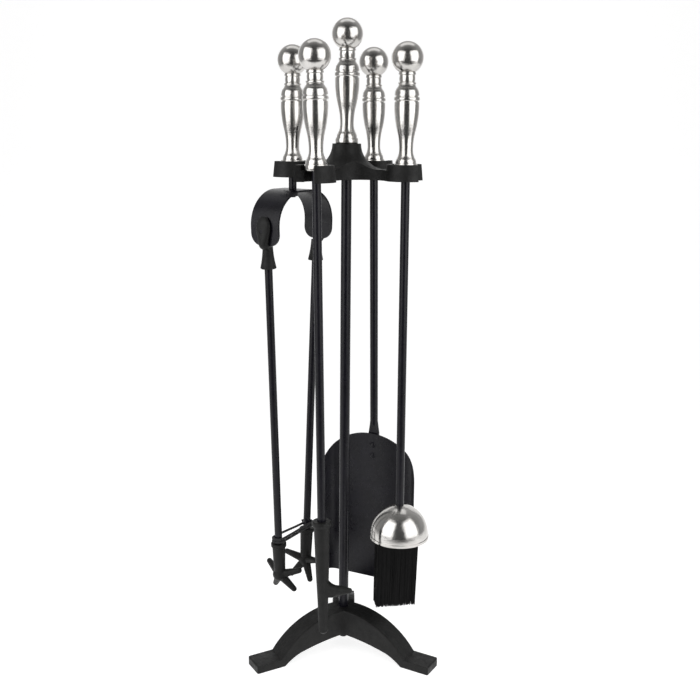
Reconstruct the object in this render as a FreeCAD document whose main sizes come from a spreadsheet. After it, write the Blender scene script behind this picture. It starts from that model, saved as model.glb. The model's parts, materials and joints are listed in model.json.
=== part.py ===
import FreeCAD, Part
import math
import os
import re
import Sketcher
from FreeCAD import Placement, Rotation, Vector

# Fireplace tool set: a tripod stand whose gallery holds a poker, a shovel, a brush and a pair
# of tongs. Millimetres and degrees. The origin is on the floor under the post, +Z is up.
# Every size below is one cell of the sheet, and each piece is bound to those cells.

DIMENSIONS = {
    # Stand
    "gallery_height": 500.0,       # floor to the underside of the gallery
    "gallery_turn": -27.2,         # plan angle of the brush's arm
    "post_diameter": 10.3,
    "stud_diameter": 8.0,          # turned down ends of the post
    "stud_reach": 14.0,            # thread inside the finial
    "seat_clearance": 0.3,         # between faces of pieces that part
    "fit_clearance": 0.05,         # radial, in bores that hold a rod
    # Tripod base
    "foot_radius": 107.5,
    "foot_length": 27.0,
    "foot_thickness": 8.5,
    "leg_width": 24.0,
    "hub_height": 45.0,
    "arch_height": 18.5,           # underside at the centre
    "arch_bend_radius": 58.0,
    "arch_bend_height": 10.5,
    "arch_foot_radius": 76.0,
    "leg_edge_radius": 1.6,
    "post_socket_depth": 5.0,
    "spot_face_diameter": 20.0,
    "spot_face_depth": 2.0,
    "washer_diameter": 18.0,
    "washer_thickness": 1.6,
    "nut_width": 13.0,             # across the flats
    "nut_thickness": 6.0,
    # Gallery
    "arm_radius": 63.0,            # post to each tool
    "arm_thickness": 10.0,
    "arm_waist": 20.5,             # post to the hollow between two arms
    "arm_spread": 16.0,            # half width where an arm meets its cup
    "arm_root": 52.5,
    "boss_height": 33.5,
    "boss_top_radius": 14.0,
    "boss_foot_radius": 38.0,
    "cup_height": 15.5,
    "cup_top_radius": 18.0,
    "cup_foot_radius": 19.8,
    "cup_recess_radius": 13.3,
    "cup_recess_depth": 5.0,
    "cup_bore_radius": 10.0,
    "cup_opening": 85.0,
    "cup_skew": 15.0,              # how far each opening is turned from its arm
    # Turned handle, measured up from its foot
    "handle_length": 116.5,
    "handle_bore_depth": 24.0,
    "foot_collar_radius": 11.2,
    "foot_collar_height": 5.5,
    "cushion_foot_radius": 9.9,
    "cushion_radius": 8.9,
    "cushion_height": 10.0,
    "waist_radius": 6.6,
    "waist_height": 17.5,
    "girth_radius": 11.7,
    "girth_height": 61.8,
    "groove_depth": 1.0,
    "groove_width": 1.2,
    "band_width": 3.4,
    "band_radius": 11.7,
    "shoulder_radius": 11.3,
    "shoulder_height": 70.2,
    "bell_radius": 9.8,            # where the shoulder turns hollow
    "bell_height": 74.2,
    "ring_radius": 7.7,
    "ring_height": 77.8,
    "ring_width": 1.6,
    "ring_step": 0.6,              # ring proud of the shoulder
    "neck_radius": 7.0,
    "neck_height": 86.4,
    "neck_collar_radius": 8.2,
    "ball_radius": 14.9,
    # Rods, and how the tools hang in their cups
    "rod_diameter": 8.5,
    "rod_grip": 22.0,              # length inside each handle
    "poker_lean": 0.9,             # the foot of each rod swings to +X
    "shovel_lean": 0.8,
    "brush_lean": 0.15,
    "tongs_lean": -0.25,
    "edge_break": 0.6,             # small chamfers on turned and cast edges
    # Poker
    "poker_socket_height": 166.0,  # floor to the top of the socket
    "poker_tip_height": 42.0,
    "poker_collar_radius": 9.4,
    "poker_collar_width": 5.5,
    "poker_socket_radius": 8.0,
    "poker_socket_depth": 30.0,
    "poker_hook_height": 90.0,
    "poker_root_radius": 6.7,
    "poker_tip_radius": 4.7,
    "poker_point_length": 7.0,
    "hook_reach": 30.0,
    "hook_root_radius": 19.0,      # height of the web at the spike
    "hook_neck_radius": 5.4,
    "hook_tip_radius": 2.8,
    "hook_width": 11.0,            # across the flat sides
    "hook_flare": 12.5,            # length of the web
    "hook_drop": 5.0,              # axis to the flat underside
    "hook_turn": 0.0,              # plan angle of the hook
    # Shovel
    "pan_top_height": 222.0,
    "pan_length": 169.0,
    "pan_width": 112.5,
    "pan_foot_width": 105.5,
    "pan_offset": 3.3,             # middle of the pan to the rod
    "pan_crown": 46.0,             # height of the rounded top
    "pan_thickness": 1.5,
    "pan_side_width": 15.0,        # width of each curled side
    "pan_side_depth": 8.0,
    "tab_width": 12.0,
    "tab_thickness": 4.0,
    "tab_corner": 5.0,
    "tab_length": 31.0,
    "tab_shoulder": 14.0,
    "pan_rivet_drop": 13.0,        # pan top to the upper rivet
    "pan_rivet_pitch": 12.0,
    "rivet_shank_radius": 2.0,
    "rivet_head_radius": 3.4,
    "rivet_head_height": 1.8,
    # Brush
    "dome_rim_height": 138.0,      # floor to the rim
    "dome_radius": 29.6,
    "dome_height": 35.0,
    "dome_thickness": 1.2,
    "dome_lip": 2.6,
    "dome_lip_radius": 30.2,
    "block_thickness": 18.0,
    "block_rise": 1.0,             # block face above the rim
    "lock_nut_thickness": 5.0,
    "lock_nut_drop": 2.2,          # inside of the dome's top to the nut
    "bundle_length": 43.5,
    "bundle_width": 18.0,
    "bundle_turn": 37.2,           # from the arm to the bundle's long side
    "bundle_offset": 2.5,          # from the rod, along the bundle's long side
    "bundle_slant": 1.5,            # further at its foot
    "bundle_taper": 0.97,
    "bristle_foot_height": 64.0,
    "bristle_thickness": 1.05,
    "bristle_rows": 12,
    "bristle_columns": 27,
    "slice_thickness": 4.0,
    # Tongs
    "tongs_rod_length": 23.3,      # handle's foot to the top of the bow
    "bow_turn": 82.2,              # from the tongs' arm to their span
    "bow_span": 87.0,              # between the middles of the strip, at the tops of the legs
    "bow_thickness": 2.0,
    "bow_width": 35.0,
    "bow_flat": 8.0,               # half of the flat crown
    "bow_crown_radius": 38.0,      # bend beside the flat
    "bow_shoulder_turn": 42.0,     # how far that bend turns
    "bow_leg_length": 18.5,
    "bow_corner_radius": 12.0,
    "tenon_diameter": 6.0,
    "tongs_nut_width": 10.0,
    "tongs_nut_thickness": 5.0,
    "arm_lean": 2.7,               # each arm leans in towards its claw
    "arm_offset": 2.8,             # middle of the strip to the arm, inwards
    "arm_rod_diameter": 8.0,
    "socket_neck_radius": 5.2,
    "socket_foot_radius": 8.1,
    "socket_length": 23.0,
    "socket_bore_depth": 14.0,
    "socket_lip": 0.8,
    "socket_gap": 1.0,             # foot of the bow's leg to the socket's neck
    "rivet_inset": 3.6,            # top of the leg to its rivet
    "paddle_half_width": 8.6,
    "paddle_length": 29.0,
    "paddle_depth": 5.6,
    "claw_collar_height": 113.0,   # floor to the top of each claw
    "claw_centre_height": 75.5,
    "claw_collar_radius": 8.2,
    "claw_collar_width": 4.5,
    "claw_neck_radius": 6.0,
    "claw_hub_radius": 7.6,
    "claw_socket_depth": 16.0,
    "finger_length": 23.0,
    "finger_root_radius": 5.0,
    "finger_tip_radius": 3.0,
    "finger_cup": 20.0,            # how far the fingers lean to the other claw
    "tie_rise": 5.1,               # claw collars to the middle of the winding
    "tie_diameter": 2.8,
    "tie_gap": 0.3,
    "tie_knot_radius": 1.9,
}

# Each cup: its quarter turn from the brush's, and which way its opening is turned.
CUPS = {"brush": (0, 1), "shovel": (90, -1), "tongs": (180, 1), "poker": (270, -1)}
# Each tool's slip along X, as a share of the play round its handle's foot, and its lean.
HANG = {"brush": (0, "brush_lean"), "shovel": (-0.48, "shovel_lean"),
        "tongs": (0.9, "tongs_lean"), "poker": (0.6, "poker_lean")}
LEGS = 3

document = FreeCAD.newDocument("FireplaceToolSet")
sheet = document.addObject("Spreadsheet::Sheet", "Sizes")
for row, (alias, size) in enumerate(DIMENSIONS.items(), start=1):
    sheet.set(f"A{row}", alias)
    sheet.set(f"B{row}", str(size))
    sheet.setAlias(f"B{row}", alias)
document.recompute()

parts = {}


def bound(text):
    """An expression whose plain names are cells of the sheet."""
    names = re.compile(r"[a-z_]{3,}")
    return names.sub(lambda m: "Sizes." + m[0] if m[0] in DIMENSIONS else m[0], str(text))


def size(text):
    """The value of such an expression, in millimetres or degrees."""
    return float(sheet.evalExpression(bound(text)))


def bind(item, **sizes):
    """Bind properties to expressions; two underscores stand for a dot."""
    for name, text in sizes.items():
        item.setExpression(name.replace("__", "."), bound(text))
    return item


def frame(x="0", y="0", z="0", turn="0", axis="0; 0; 1"):
    """A placement as an expression: a point, and a turn about an axis."""
    return f"placement(vector({x}; {y}; {z}); rotation(vector({axis}); {turn}))"


def place(item, *frames, prefix="Placement"):
    """Bind a placement to one frame, or to frames that each lie in the one before."""
    item.setExpression(prefix, bound(" * ".join(frames)))
    return item


ACROSS_X = "0; 1; 0"    # a quarter turn about this axis lays a Z axis along X


def keep(name, item):
    """Name a finished sub-part: its label is its file's name."""
    item.Label = name
    parts[name] = item
    return item


# ---- Sketches and features -----------------------------------------------------------------

def origin_plane(body, role):
    return next(item for item in body.Origin.OriginFeatures if item.Role == role)


def sketch_on(body, name, role, offset="0"):
    """An empty sketch on one of the body's own planes, raised by offset."""
    sketch = body.newObject("Sketcher::SketchObject", name)
    sketch.AttachmentSupport = (origin_plane(body, role), [""])
    sketch.MapMode = "FlatFace"
    sketch.setExpression("AttachmentOffset.Base.z", bound(offset))
    return sketch


def hold_point(sketch, edge, end, x, y):
    """Hold one end of an edge at a place given by two expressions."""
    for kind, text in (("DistanceX", x), ("DistanceY", y)):
        held = Sketcher.Constraint(kind, -1, 1, edge, end, size(text))
        number = sketch.addConstraint(held)
        sketch.renameConstraint(number, f"{kind}{edge}")
        sketch.setExpression(f"Constraints.{kind}{edge}", bound(text))


def arc_between(start, end, bulge):
    """The arc from start to end that turns by four times the angle whose tangent is bulge."""
    across = end - start
    rise = Vector(across.y, -across.x, 0) * (bulge / 2)
    return Part.Arc(start, (start + end) / 2 + rise, end)


def outline(sketch, corners):
    """Draw a closed outline of corners (x, y) or (x, y, bulge).

    A bulge makes the edge that leaves its corner an arc: it is the tangent of a quarter of
    the arc's turn, and a positive one swells to the right of the way along the outline.
    """
    points = [Vector(size(corner[0]), size(corner[1]), 0) for corner in corners]
    count = len(corners)
    for edge, corner in enumerate(corners):
        start, end = points[edge], points[(edge + 1) % count]
        if len(corner) == 2:
            sketch.addGeometry(Part.LineSegment(start, end), False)
        else:
            sketch.addGeometry(arc_between(start, end, corner[2]), False)
    for edge, corner in enumerate(corners):
        leave = 1 if len(corner) == 2 or corner[2] > 0 else 2
        before = corners[edge - 1]
        arrive = 2 if len(before) == 2 or before[2] > 0 else 1
        sketch.addConstraint(Sketcher.Constraint("Coincident", (edge - 1) % count, arrive, edge, leave))
        hold_point(sketch, edge, leave, corner[0], corner[1])
    for edge, corner in enumerate(corners):
        if len(corner) == 3:
            after = corners[(edge + 1) % count]
            chord = f"sqrt((({after[0]}) - ({corner[0]}))^2 + (({after[1]}) - ({corner[1]}))^2)"
            bulge = abs(corner[2])
            radius = f"{chord} * {(1 + bulge ** 2) / (4 * bulge)}"
            number = sketch.addConstraint(Sketcher.Constraint("Radius", edge, size(radius)))
            sketch.renameConstraint(number, f"Radius{edge}")
            sketch.setExpression(f"Constraints.Radius{edge}", bound(radius))
    return sketch


def circle(sketch, x, y, radius):
    """Draw a circle."""
    edge = sketch.addGeometry(Part.Circle(Vector(size(x), size(y), 0), Vector(0, 0, 1), size(radius)), False)
    hold_point(sketch, edge, 3, x, y)
    number = sketch.addConstraint(Sketcher.Constraint("Radius", edge, size(radius)))
    sketch.renameConstraint(number, f"Radius{edge}")
    sketch.setExpression(f"Constraints.Radius{edge}", bound(radius))
    return sketch


def cap(radius, height):
    """The bulge of a dome's outline, from its rim in to its axis, as part of a sphere."""
    return math.tan(math.atan(size(height) / size(radius)) / 2)


def pad(body, sketch, length, midplane=False, kind="Pad", reverse=False):
    """Pad or pocket a sketch by an expression's length."""
    feature = body.newObject(f"PartDesign::{kind}", f"{kind}_{sketch.Name}")
    feature.Profile = sketch
    feature.Midplane = midplane
    feature.Reversed = reverse
    return bind(feature, Length=length)


def revolve(body, sketch, kind="Revolution"):
    """Turn a sketch about its own upright axis, adding to the body or cutting it."""
    feature = body.newObject(f"PartDesign::{kind}", f"{kind}_{sketch.Name}")
    feature.Profile = sketch
    feature.ReferenceAxis = (sketch, ["V_Axis"])
    feature.Angle = 360
    return feature


def repeat(body, feature, count):
    """Repeat a feature round the body's upright axis."""
    pattern = body.newObject("PartDesign::PolarPattern", f"Around_{feature.Name}")
    pattern.Originals = [feature]
    pattern.Axis = (origin_plane(body, "Z_Axis"), [""])
    pattern.Angle = 360
    pattern.Occurrences = count
    body.Tip = pattern
    return pattern


def turned(name, corners):
    """A body turned from one outline of (radius, height) corners."""
    body = document.addObject("PartDesign::Body", name)
    revolve(body, outline(sketch_on(body, f"{name}_profile", "XZ_Plane"), corners))
    return body


def solid(kind, name, **sizes):
    """One Part primitive with its sizes bound."""
    return bind(document.addObject(f"Part::{kind}", name), **sizes)


def joined(name, pieces):
    """One piece made of several solids that overlap."""
    fuse = document.addObject("Part::MultiFuse", name)
    fuse.Shapes = pieces
    return fuse


def cut(name, base, tools):
    """A solid with one or more tools taken away."""
    tool = tools[0] if len(tools) == 1 else joined(f"{name}_tools", tools)
    result = document.addObject("Part::Cut", name)
    result.Base = base
    result.Tool = tool
    return result


def nut(name, width, thickness, bore):
    """A hexagon nut that stands on z = 0, with its top corners chamfered."""
    body = solid("Prism", f"{name}_body", Circumradius=f"({width}) / (2 * cos(30))", Height=thickness)
    body.Polygon = 6
    hole = solid("Cylinder", f"{name}_hole", Radius=bore, Height=f"({thickness}) + 2")
    place(hole, frame(z="-1"))
    chamfer = solid("Cone", f"{name}_chamfer", Radius1=f"({width}) * 0.66", Radius2=f"({width}) * 0.5",
                    Height=thickness)
    shaped = document.addObject("Part::Common", f"{name}_shaped")
    shaped.Base = body
    shaped.Tool = chamfer
    return cut(name, shaped, [hole])


# ---- Where each tool stands ----------------------------------------------------------------

def tool_x(tool):
    return f"arm_radius * cos(gallery_turn + {CUPS[tool][0]})"


def tool_y(tool):
    return f"arm_radius * sin(gallery_turn + {CUPS[tool][0]})"


def hang_frame(tool, height, turn):
    """A frame on a tool's leaning axis, turned from +X."""
    slip, lean = HANG[tool]
    across = f"{tool_x(tool)} + ({slip}) * (cup_recess_radius - foot_collar_radius)"
    seat = frame(across, tool_y(tool), HANDLE_FOOT, f"-({lean})", ACROSS_X)
    return f"{seat} * {frame(z=f'({height}) - ({HANDLE_FOOT})', turn=turn)}"


def tool_frame(tool, height="0", turn="0"):
    """The frame on a tool's axis, turned from the tool's arm."""
    return hang_frame(tool, height, f"gallery_turn + {CUPS[tool][0]} + ({turn})")


def stand_at(item, tool, height="0", turn="0"):
    """Put a piece on a tool's axis."""
    return place(item, tool_frame(tool, height, turn))


HANDLE_FOOT = "gallery_height + cup_height - cup_recess_depth + seat_clearance"
ROD_RADIUS = "rod_diameter / 2"


# ---- Stand ---------------------------------------------------------------------------------

def base_casting():
    """Three arched legs on flat feet, cast in one piece round the post's socket."""
    legs = [base_leg(number) for number in range(LEGS)]
    socket_hole = solid("Cylinder", "post_socket", Radius="post_diameter / 2 + fit_clearance",
                        Height="post_socket_depth + 1")
    place(socket_hole, frame(z="hub_height - post_socket_depth"))
    stud_hole = solid("Cylinder", "stud_hole", Radius="stud_diameter / 2 + fit_clearance",
                      Height="hub_height")
    spot_face = solid("Cylinder", "spot_face", Radius="spot_face_diameter / 2",
                      Height="arch_height + spot_face_depth")
    casting = cut("base_casting", joined("base_legs", legs), [socket_hole, stud_hole, spot_face])
    return keep("base_casting", casting)


def base_leg(number):
    """One leg: its side outline padded to its width, with the upper edges rounded."""
    body = document.addObject("PartDesign::Body", f"leg{number}")
    leg = outline(sketch_on(body, f"leg{number}_side", "XZ_Plane"), [
        ("0", "arch_height", -0.06),
        ("arch_bend_radius", "arch_bend_height", -0.1),
        ("arch_foot_radius", "0"),
        ("foot_radius", "0"),
        ("foot_radius", "foot_thickness"),
        ("foot_radius - foot_length", "foot_thickness", 0.27),
        ("0", "hub_height"),
    ])
    padded = pad(body, leg, "leg_width", midplane=True)
    document.recompute()
    edges = [f"Edge{count}" for count, edge in enumerate(body.Shape.Edges, start=1) if is_upper(edge)]
    rounded = body.newObject("PartDesign::Fillet", f"leg{number}_edges")
    rounded.Base = (padded, edges)
    bind(rounded, Radius="leg_edge_radius")
    return place(body, frame(turn=f"90 + {number} * 360 / {LEGS}"))


def is_upper(edge):
    """Whether an edge of a leg runs along its crest or round the end of its foot."""
    middle, near = edge.CenterOfMass, 0.1
    on_side = abs(abs(middle.y) - size("leg_width") / 2) < near and middle.x > near
    crest = on_side and edge.BoundBox.ZMax > size("hub_height") - near
    foot_end = abs(middle.x - size("foot_radius")) < near and middle.z > near
    return crest or foot_end


def stand_post():
    """A round bar, turned down at both ends to studs."""
    seat = "hub_height - post_socket_depth"
    nut_end = "arch_height + spot_face_depth - washer_thickness - nut_thickness - 3"
    post = turned("stand_post", [
        ("0", nut_end),
        ("stud_diameter / 2", nut_end),
        ("stud_diameter / 2", seat),
        ("post_diameter / 2", seat),
        ("post_diameter / 2", "gallery_height"),
        ("stud_diameter / 2", "gallery_height"),
        ("stud_diameter / 2", "gallery_height + boss_height + stud_reach"),
        ("0", "gallery_height + boss_height + stud_reach"),
    ])
    return keep("stand_post", post)


def base_fasteners():
    """The washer and the nut that pull the post into the base from below."""
    under = "arch_height + spot_face_depth"
    disc = solid("Cylinder", "washer_disc", Radius="washer_diameter / 2", Height="washer_thickness")
    hole = solid("Cylinder", "washer_hole", Radius="stud_diameter / 2 + 2 * fit_clearance",
                 Height="washer_thickness + 2")
    place(hole, frame(z="-1"))
    washer = place(cut("base_washer", disc, [hole]), frame(z=f"{under} - washer_thickness"))
    keep("base_washer", washer)
    fixing = nut("base_nut", "nut_width", "nut_thickness", "stud_diameter / 2 + fit_clearance")
    keep("base_nut", place(fixing, frame(z=f"{under} - washer_thickness - nut_thickness")))


def primitive(body, kind, name, spot, **sizes):
    """A PartDesign primitive on the body's floor plane, moved and turned to a frame."""
    item = body.newObject(f"PartDesign::{kind}", name)
    item.AttachmentSupport = (origin_plane(body, "XY_Plane"), [""])
    item.MapMode = "FlatFace"
    place(item, spot, prefix="AttachmentOffset")
    return bind(item, **sizes)


def tool_gallery():
    """A boss with four arms, and at the end of each an open cup for a handle's foot."""
    body = document.addObject("PartDesign::Body", "tool_gallery")
    corners = []
    for quarter in (0, 90, 180, 270):
        turn = f"cos({quarter})", f"sin({quarter})"
        for side, bulge in (("-arm_spread", None), ("arm_spread", -arm_hollow())):
            point = (f"arm_root * {turn[0]} - ({side}) * {turn[1]}",
                     f"arm_root * {turn[1]} + ({side}) * {turn[0]}")
            corners.append(point if bulge is None else point + (bulge,))
    pad(body, outline(sketch_on(body, "arms", "XY_Plane"), corners), "boss_height")
    far = "arm_radius + cup_foot_radius"
    flank = outline(sketch_on(body, "boss_flank", "XZ_Plane"), [
        ("boss_top_radius", "boss_height", 0.42),
        ("boss_foot_radius", "arm_thickness"),
        (far, "arm_thickness"),
        (far, "boss_height + 1"),
        ("boss_top_radius", "boss_height + 1"),
    ])
    revolve(body, flank, "Groove")
    for tool, (quarter, _) in CUPS.items():
        primitive(body, "AdditiveCone", f"{tool}_cup", cup_frame(quarter), Radius1="cup_foot_radius",
                  Radius2="cup_top_radius", Height="cup_height")
    through = {"Height": "cup_height + 2"}
    for tool, (quarter, skew) in CUPS.items():
        primitive(body, "SubtractiveCylinder", f"{tool}_recess",
                  cup_frame(quarter, "cup_height - cup_recess_depth"),
                  Radius="cup_recess_radius", Height="cup_recess_depth + 1")
        primitive(body, "SubtractiveCylinder", f"{tool}_bore", cup_frame(quarter, "-1"),
                  Radius="cup_bore_radius", **through)
        opening = cup_frame(quarter, "-1", f"{skew} * cup_skew - cup_opening / 2")
        primitive(body, "SubtractiveCylinder", f"{tool}_opening", opening,
                  Radius="2 * cup_foot_radius", Angle="cup_opening", **through)
    primitive(body, "SubtractiveCylinder", "stud_bore", frame(z="-1"), Height="boss_height + 2",
              Radius="stud_diameter / 2 + fit_clearance")
    place(body, frame(z="gallery_height", turn="gallery_turn"))
    return keep("tool_gallery", body)


def cup_frame(quarter, height="0", turn="0"):
    """The frame on a cup's axis, in the gallery's own frame."""
    return frame(f"arm_radius * cos({quarter})", f"arm_radius * sin({quarter})", height,
                 f"{quarter} + ({turn})")


def arm_hollow():
    """The bulge of the hollow wall between two arms, so that it comes to arm_waist."""
    half_chord = (size("arm_root") - size("arm_spread")) / math.sqrt(2)
    chord_distance = (size("arm_root") + size("arm_spread")) / math.sqrt(2)
    return (chord_distance - size("arm_waist")) / half_chord


# ---- Handles and rods ----------------------------------------------------------------------

BALL_SEAT = 0.86    # how far below its centre the ball meets the neck, in ball radii


def handle(name, bore, bore_depth="handle_bore_depth"):
    """The turned handle that the finial and all four tools share, standing on z = 0."""
    groove = "groove_depth"
    band_foot = "girth_height + groove_width"
    band_top = f"{band_foot} + band_width"
    return turned(name, [
        ("0", bore_depth),
        (bore, bore_depth),
        (bore, "0"),
        ("foot_collar_radius - edge_break", "0", 0.21),
        ("foot_collar_radius - edge_break", "foot_collar_height"),
        ("cushion_foot_radius", "foot_collar_height", 0.15),
        ("cushion_radius", "cushion_height", -0.12),
        ("waist_radius", "waist_height", -0.07),
        ("waist_radius + (girth_radius - waist_radius) * 0.42",
         "waist_height + (girth_height - waist_height) * 0.4", 0.07),
        ("girth_radius", "girth_height"),
        (f"girth_radius - {groove}", "girth_height"),
        (f"girth_radius - {groove}", band_foot),
        ("band_radius", band_foot, 0.3),
        ("band_radius", band_top),
        (f"band_radius - {groove}", band_top),
        (f"band_radius - {groove}", f"{band_top} + groove_width"),
        ("band_radius", f"{band_top} + groove_width", 0.07),
        ("shoulder_radius", "shoulder_height", 0.15),
        ("bell_radius", "bell_height", -0.1),
        ("ring_radius", "ring_height"),
        ("ring_radius + ring_step", "ring_height", 0.3),
        ("ring_radius + ring_step", "ring_height + ring_width"),
        ("neck_radius", "ring_height + ring_width", 0.16),
        ("neck_radius", "neck_height"),
        ("neck_collar_radius", "neck_height", 0.2),
        (f"ball_radius * {math.sqrt(1 - BALL_SEAT ** 2)}", f"handle_length - ball_radius * {1 + BALL_SEAT}",
         math.tan((math.pi / 2 + math.asin(BALL_SEAT)) / 4)),
        ("0", "handle_length"),
    ])


def handles():
    """The finial on the gallery, and a handle on each tool."""
    finial = handle("finial_handle", "stud_diameter / 2 + fit_clearance")
    keep("finial_handle", place(finial, frame(z="gallery_height + boss_height")))
    for tool in CUPS:
        grip = handle(f"{tool}_handle", f"{ROD_RADIUS} + fit_clearance")
        keep(f"{tool}_handle", stand_at(grip, tool, HANDLE_FOOT))


def plain_rod(tool, foot):
    """A round rod from inside a tool's handle down to a height."""
    rod = solid("Cylinder", f"{tool}_rod", Radius=ROD_RADIUS, Height=f"{HANDLE_FOOT} + rod_grip - ({foot})")
    return keep(f"{tool}_rod", stand_at(rod, tool, foot))


def ring_loft(name, rings):
    """A smooth solid through ellipses, each (frame, long radius along its X, short radius)."""
    sections = []
    for number, (spot, long_radius, short_radius) in enumerate(rings):
        ring = document.addObject("Part::Ellipse", f"{name}_ring{number}")
        bind(ring, MajorRadius=f"({long_radius}) * 1.0001", MinorRadius=short_radius)
        sections.append(place(ring, spot))
    loft = document.addObject("Part::Loft", name)
    loft.Sections = sections
    loft.Solid = True
    return loft


# ---- Poker ---------------------------------------------------------------------------------

def poker():
    """A handle, a rod, and a cast point with a side hook."""
    plain_rod("poker", "poker_socket_height - poker_socket_depth")
    bore = f"{ROD_RADIUS} + fit_clearance"
    bottom = "poker_socket_height - poker_socket_depth"
    collar_foot = "poker_socket_height - poker_collar_width"
    shaft = turned("poker_shaft", [
        ("0", bottom),
        ("0", "poker_tip_height", 0.2),
        ("poker_tip_radius", "poker_tip_height + poker_point_length / 2"),
        ("poker_root_radius - 2 * edge_break", "poker_hook_height - 2 * hook_drop"),
        ("poker_root_radius", "poker_hook_height + hook_root_radius + 2 * edge_break"),
        ("poker_socket_radius", collar_foot),
        ("poker_collar_radius", collar_foot + " + edge_break", 0.2),
        ("poker_collar_radius", "poker_socket_height - edge_break"),
        ("poker_collar_radius - edge_break", "poker_socket_height"),
        (bore, "poker_socket_height"),
        (bore, bottom),
    ])
    hook = turned("poker_hook", [
        ("0", "0"),
        ("hook_root_radius", "0"),
        ("hook_root_radius", "poker_root_radius * 0.6", -0.45),
        ("hook_neck_radius", "poker_root_radius * 0.6 + hook_flare"),
        ("hook_tip_radius", "hook_reach - hook_tip_radius", cap("hook_tip_radius", "hook_tip_radius")),
        ("0", "hook_reach"),
    ])
    place(hook, frame(z="poker_hook_height", turn="90", axis=ACROSS_X))
    flats = solid("Box", "poker_hook_flats", Length="2 * hook_reach", Width="hook_width",
                  Height="2 * hook_root_radius")
    place(flats, frame("-hook_reach / 2", "-hook_width / 2", "poker_hook_height - hook_drop"))
    web = document.addObject("Part::Common", "poker_hook_web")
    web.Base = hook
    web.Tool = flats
    point = joined("poker_point", [shaft, web])
    keep("poker_point", place(point, hang_frame("poker", "0", "hook_turn")))


# ---- Shovel --------------------------------------------------------------------------------

PAN_BACK = "-tab_thickness / 2"


def shovel():
    """A rod flattened behind a curled sheet pan, and the two rivets between them."""
    heights = ["pan_top_height - pan_rivet_drop", "pan_top_height - pan_rivet_drop - pan_rivet_pitch"]
    blank = document.addObject("Part::Common", "pan_blank")
    blank.Base = pan_trough()
    blank.Tool = pan_face()
    pan = cut("shovel_pan", blank, [rivet_hole(f"pan_hole{i}", z) for i, z in enumerate(heights)])
    keep("shovel_pan", stand_at(pan, "shovel"))

    tab_foot = f"{heights[1]} - tab_width / 2"
    tab_top = f"{tab_foot} + tab_length"
    bar_foot = f"{tab_top} + tab_shoulder"
    bar_top = f"{HANDLE_FOOT} + rod_grip"
    round_stock = turned("shovel_bar", [
        ("0", tab_foot),
        ("tab_width / 2 - tab_corner", tab_foot, 0.35),
        ("tab_width / 2", f"{tab_foot} + tab_corner"),
        ("tab_width / 2", tab_top),
        (ROD_RADIUS, bar_foot),
        (ROD_RADIUS, bar_top),
        ("0", bar_top),
    ])
    flats = document.addObject("PartDesign::Body", "shovel_flats")
    half = "tab_thickness / 2"
    pad(flats, outline(sketch_on(flats, "flats_side", "XZ_Plane"), [
        (f"-{half}", f"{tab_foot} - 1"),
        (half, f"{tab_foot} - 1"),
        (half, tab_top),
        (f"{ROD_RADIUS} + 1", bar_foot),
        (f"{ROD_RADIUS} + 1", f"{bar_top} + 1"),
        (f"-({ROD_RADIUS}) - 1", f"{bar_top} + 1"),
        (f"-({ROD_RADIUS}) - 1", bar_foot),
        (f"-{half}", tab_top),
    ]), "4 * tab_width", midplane=True)
    forging = document.addObject("Part::Common", "shovel_forging")
    forging.Base = round_stock
    forging.Tool = flats
    rod = cut("shovel_rod", forging, [rivet_hole(f"tab_hole{i}", z) for i, z in enumerate(heights)])
    keep("shovel_rod", stand_at(rod, "shovel"))
    rivets = joined("shovel_rivets", [pan_rivet(f"pan_rivet{i}", z) for i, z in enumerate(heights)])
    keep("shovel_rivets", stand_at(rivets, "shovel"))


def pan_trough():
    """The pan's sheet: flat in the middle, with both sides curled towards the post."""
    body = document.addObject("PartDesign::Body", "pan_trough")
    side, flat = "pan_width / 2", "(pan_width / 2 - pan_side_width)"
    rim, front = f"{PAN_BACK} - pan_side_depth", f"{PAN_BACK} - pan_thickness"
    curl, inner_side = 0.25, f"{side} - pan_thickness * 1.2"
    pad(body, outline(sketch_on(body, "pan_section", "XY_Plane"), [
        (PAN_BACK, f"-{flat}"),
        (PAN_BACK, flat, curl),
        (rim, side),
        (rim, inner_side, -curl),
        (front, flat),
        (front, f"-{flat}", -curl),
        (rim, f"-({inner_side})"),
        (rim, f"-({side})", curl),
    ]), "pan_length")
    return place(body, frame(y="pan_offset", z="pan_top_height - pan_length"))


def pan_face():
    """The pan as seen square on: straight below, with a half oval top of two arcs a side."""
    body = document.addObject("PartDesign::Body", "pan_face")
    side, crown, foot = "pan_width / 2", "pan_top_height - pan_crown", "pan_top_height - pan_length"
    foot_side = "pan_foot_width / 2"
    join_y, join_z = f"{side} * 0.737", f"{crown} + pan_crown * 0.677"
    pad(body, outline(sketch_on(body, "pan_shape", "YZ_Plane"), [
        (f"-{foot_side}", foot),
        (foot_side, foot),
        (side, crown, 0.218),
        (join_y, join_z, 0.18),
        ("0", "pan_top_height", 0.18),
        (f"-{join_y}", join_z, 0.218),
        (f"-{side}", crown),
    ]), "4 * pan_side_depth", midplane=True)
    return place(body, frame(y="pan_offset"))


def rivet_hole(name, z):
    """A hole for one rivet, along X."""
    hole = solid("Cylinder", name, Radius="rivet_shank_radius + fit_clearance", Height="4 * tab_thickness")
    return place(hole, frame("-2 * tab_thickness", z=z, turn="90", axis=ACROSS_X))


def pan_rivet(name, z):
    """One rivet through the pan and the tab, with a domed head at each end."""
    front = f"{PAN_BACK} - pan_thickness"
    piece = turned(name, rivet_outline(front, "tab_thickness / 2", True))
    return place(piece, frame(z=z, turn="90", axis=ACROSS_X))


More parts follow.
